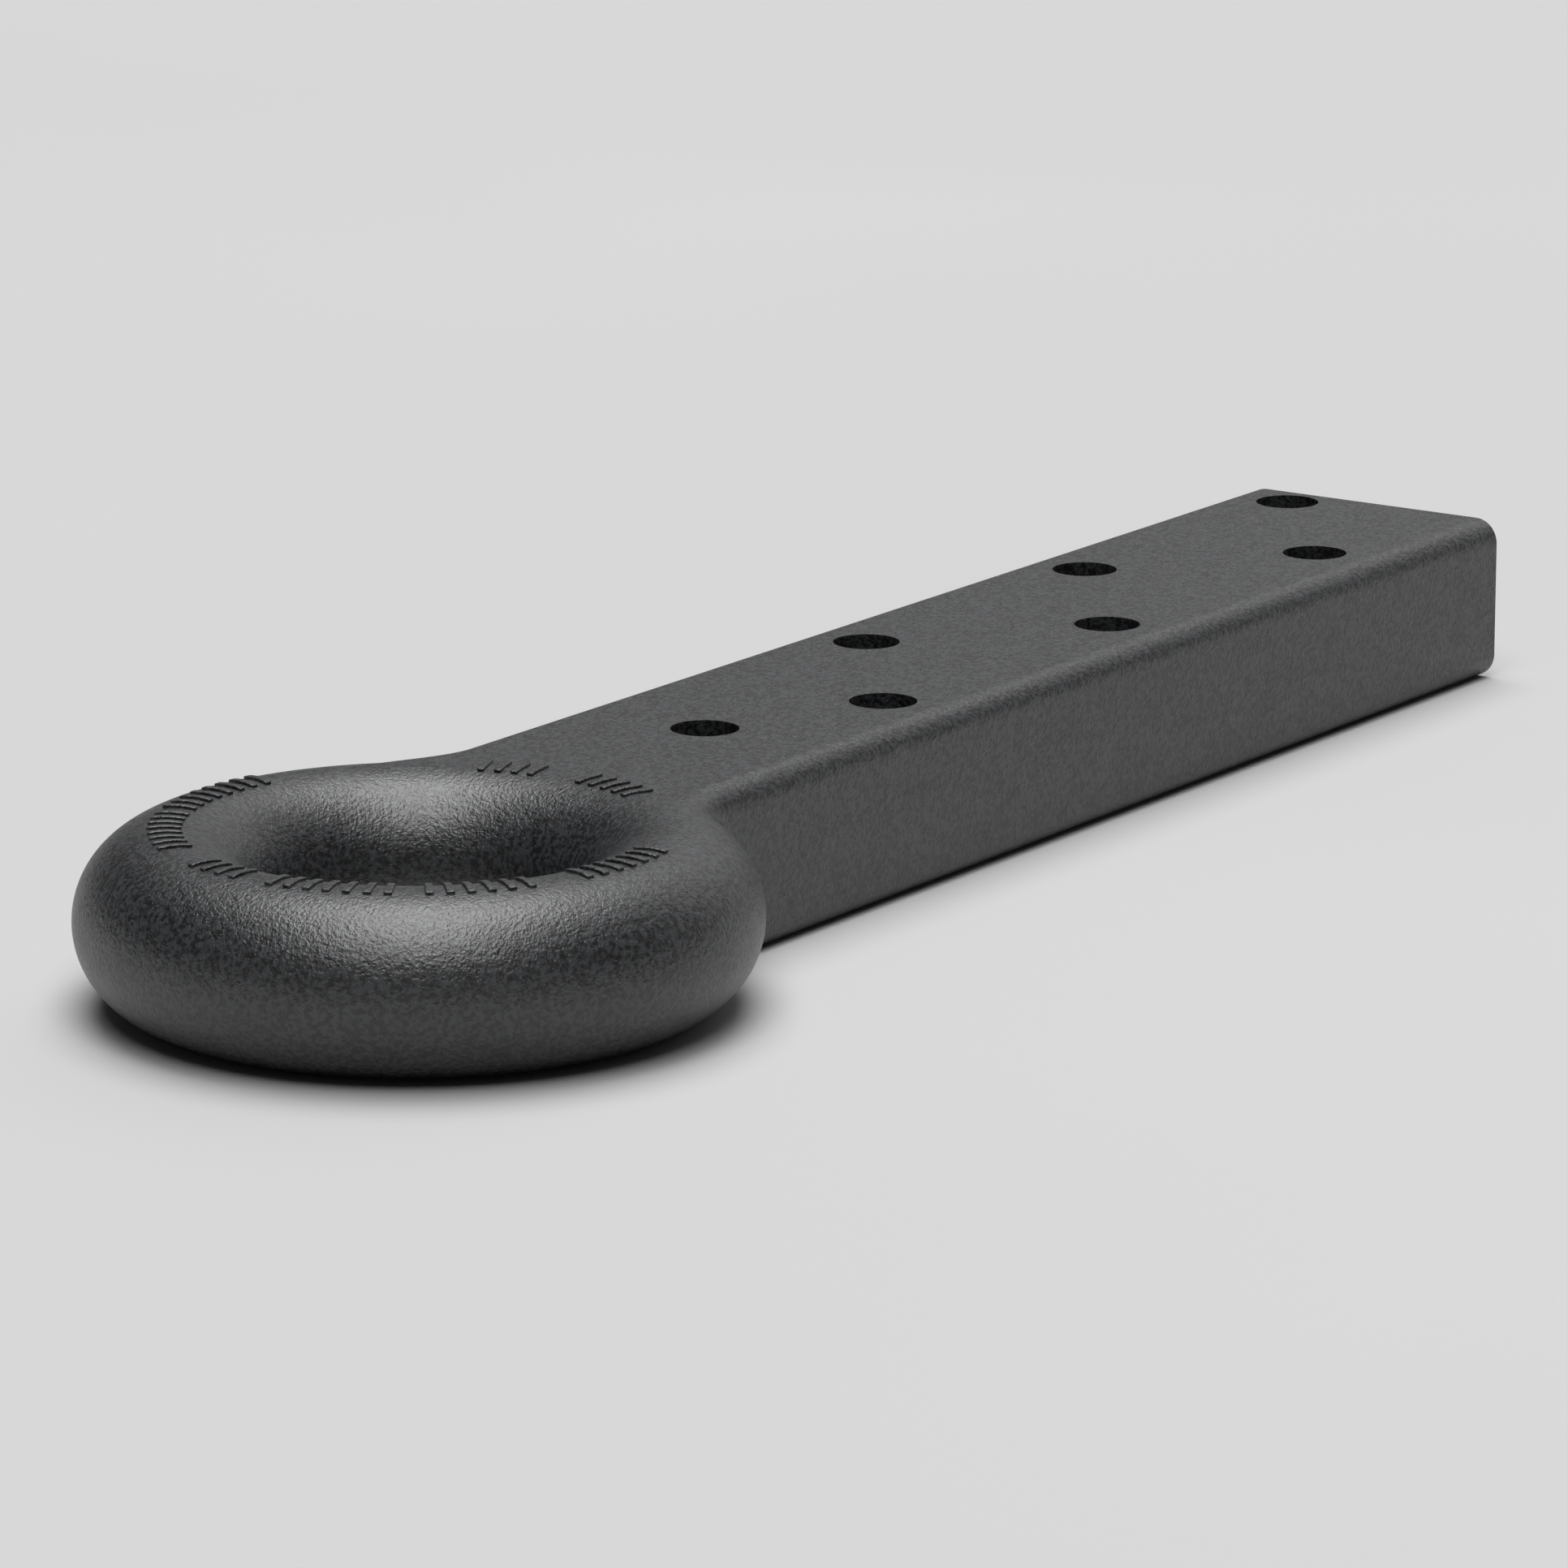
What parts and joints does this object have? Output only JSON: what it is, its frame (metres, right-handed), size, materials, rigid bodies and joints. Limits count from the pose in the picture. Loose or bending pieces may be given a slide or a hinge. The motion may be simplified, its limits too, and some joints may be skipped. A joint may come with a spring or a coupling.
{
  "type": "lunette ring",
  "caption": "Forged steel lunette ring with a flat bolt-on shank and two staggered rows of bolt holes, for coupling a trailer tongue to a pintle hook.",
  "frame": {"origin": "middle of the part's outline seen from above, on the plane of its underside", "axes": "+X along the shank from the ring to the free end, +Z along the bolt holes and the ring's axis, +Y across the shank towards the row whose last hole is nearest the free end"},
  "size_m": [0.5064, 0.1588, 0.0429],
  "materials": {
    "powder_coat": "textured satin black powder coat"
  },
  "bodies": {
    "root": {"lunette_ring": "powder_coat"}
  },
  "joints": []
}
